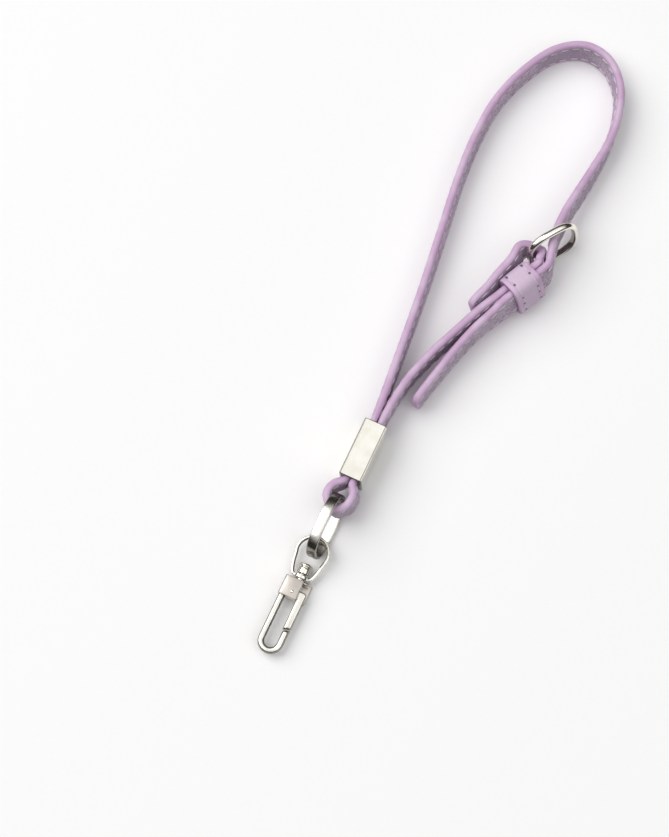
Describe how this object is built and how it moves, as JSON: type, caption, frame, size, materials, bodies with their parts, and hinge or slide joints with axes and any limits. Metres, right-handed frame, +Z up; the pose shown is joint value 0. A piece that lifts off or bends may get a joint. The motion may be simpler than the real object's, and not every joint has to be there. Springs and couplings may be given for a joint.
{
  "type": "phone wrist strap",
  "caption": "Folded leather wrist strap with a buckle frame and keeper, a metal sleeve, an oval ring and a swivel snap hook for a phone case.",
  "frame": {"origin": "on the surface that the strap lies on, under the middle of the whole object's box", "axes": "+Y from the snap hook to the far end of the wrist loop, +X to the right seen from above, +Z up from the surface"},
  "size_m": [0.0382, 0.1894, 0.0136],
  "materials": {
    "strap_leather": "pebbled lilac leather with lighter painted edges",
    "keeper_leather": "pebbled lilac leather with stitching",
    "polished_metal": "polished warm nickel plating",
    "satin_metal": "soft polished warm nickel plating"
  },
  "bodies": {
    "strap_body": {"strap": "strap_leather", "keeper": "keeper_leather", "buckle_frame": "polished_metal", "rivet": "polished_metal", "sleeve": "polished_metal", "ring": "satin_metal", "swivel_eye": "polished_metal"},
    "hook_body": {"hook": "satin_metal", "swivel_pin": "polished_metal", "gate_pin": "polished_metal"},
    "gate_body": {"gate": "polished_metal"}
  },
  "joints": [
    {"name": "hook_swivel", "type": "hinge", "parent": "strap_body", "child": "hook_body", "pos_m": [-0.01029, -0.07372, 0.0025], "axis": [0, 1, 0], "continuous": true},
    {"name": "gate_swing", "type": "hinge", "parent": "hook_body", "child": "gate_body", "pos_m": [-0.01059, -0.07742, 0.0025], "axis": [0, 0, -1], "range_deg": [0, 16], "stiffness_Nm_per_rad": 0.01}
  ]
}
